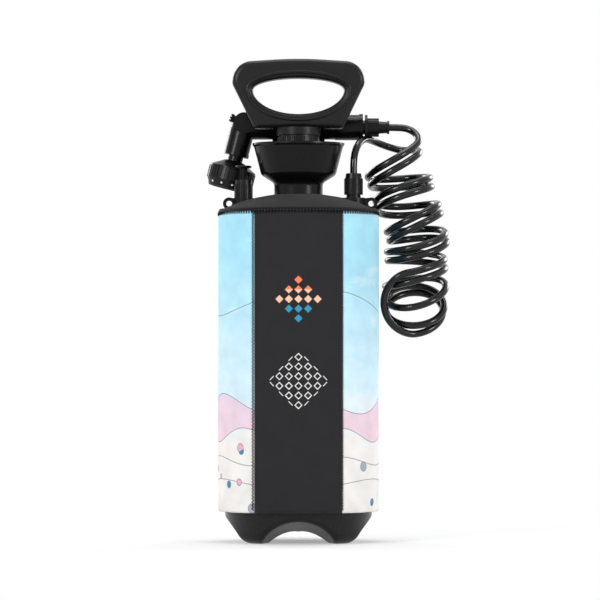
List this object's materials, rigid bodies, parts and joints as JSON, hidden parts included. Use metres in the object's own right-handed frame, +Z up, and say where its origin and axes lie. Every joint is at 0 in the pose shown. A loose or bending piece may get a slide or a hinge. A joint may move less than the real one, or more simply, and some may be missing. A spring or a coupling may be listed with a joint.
{
  "type": "portable pressure shower",
  "caption": "Free-standing pump pressure shower with a jacketed bottle, filling funnel, D-shaped pump handle, recoil hose and spray handset parked behind the handle.",
  "frame": {"origin": "centre of the bottle's foot on the floor, on the tank's axis", "axes": "+Z up along the tank's axis, -Y out of the front panel, +X towards the hose outlet"},
  "size_m": [0.2686, 0.1766, 0.5307],
  "materials": {
    "black_plastic": "satin",
    "bottle_plastic": "satin",
    "natural_plastic": "satin",
    "dark_neoprene": "matte",
    "printed_neoprene": "matte",
    "hose_plastic": "gloss",
    "seal_rubber": "matte",
    "steel": "brushed"
  },
  "bodies": {
    "root": {"tank_bottle": "bottle_plastic", "filling_funnel": "black_plastic", "handset_cradle": "black_plastic", "sleeve_front_panel": "dark_neoprene", "sleeve_right_panel": "printed_neoprene", "sleeve_left_panel": "printed_neoprene", "shoulder_cover": "dark_neoprene", "relief_base": "black_plastic", "relief_cap": "black_plastic", "relief_spring": "steel", "outlet_base": "black_plastic", "outlet_barb": "black_plastic", "outlet_nut": "black_plastic", "dip_tube": "natural_plastic", "dip_filter": "black_plastic", "hose_outlet_lead": "hose_plastic", "hose_coil": "hose_plastic", "hose_handset_lead": "hose_plastic"},
    "pump_unit": {"neck_seal": "seal_rubber", "pump_cylinder": "black_plastic", "pump_cap": "black_plastic", "foot_valve": "seal_rubber"},
    "pump_handle": {"handle_grip": "black_plastic", "rod_pin": "steel", "pump_rod": "black_plastic", "piston": "black_plastic", "piston_cup": "seal_rubber"},
    "relief_stem": {"relief_pull": "black_plastic", "relief_seal": "seal_rubber"},
    "handset": {"handset_tube": "black_plastic", "spray_head": "black_plastic", "head_cover": "black_plastic", "lever_pin": "black_plastic", "inlet_body": "black_plastic", "inlet_nut": "black_plastic", "inlet_seal": "seal_rubber", "hose_tail": "black_plastic", "rose_neck": "black_plastic", "rose_shell": "black_plastic"},
    "thumb_lever": {"thumb_lever": "black_plastic"},
    "pattern_ring": {"pattern_ring": "black_plastic", "spray_face": "black_plastic"}
  },
  "joints": [
    {"name": "pump_lift", "type": "slide", "parent": "root", "child": "pump_unit", "axis": [0, 0, 1], "range_m": [0, 0.24]},
    {"name": "pump_stroke", "type": "slide", "parent": "pump_unit", "child": "pump_handle", "axis": [0, 0, 1], "range_m": [0, 0.19]},
    {"name": "relief_lift", "type": "slide", "parent": "root", "child": "relief_stem", "axis": [0, 0, 1], "range_m": [0, 0.004], "stiffness_N_per_m": 400, "springref_m": -0.004, "deforming": ["relief_spring"]},
    {"name": "handset_unclip", "type": "slide", "parent": "root", "child": "handset", "axis": [0, 1, 0], "range_m": [0, 0.06]},
    {"name": "lever_turn", "type": "hinge", "parent": "handset", "child": "thumb_lever", "pos_m": [-0.06035, 0.041, 0.4626], "axis": [0, 1, 0], "range_deg": [0, 40]},
    {"name": "pattern_turn", "type": "hinge", "parent": "handset", "child": "pattern_ring", "pos_m": [-0.0615, 0.041, 0.458], "axis": [-0.2419, 0, -0.9703], "continuous": true}
  ]
}
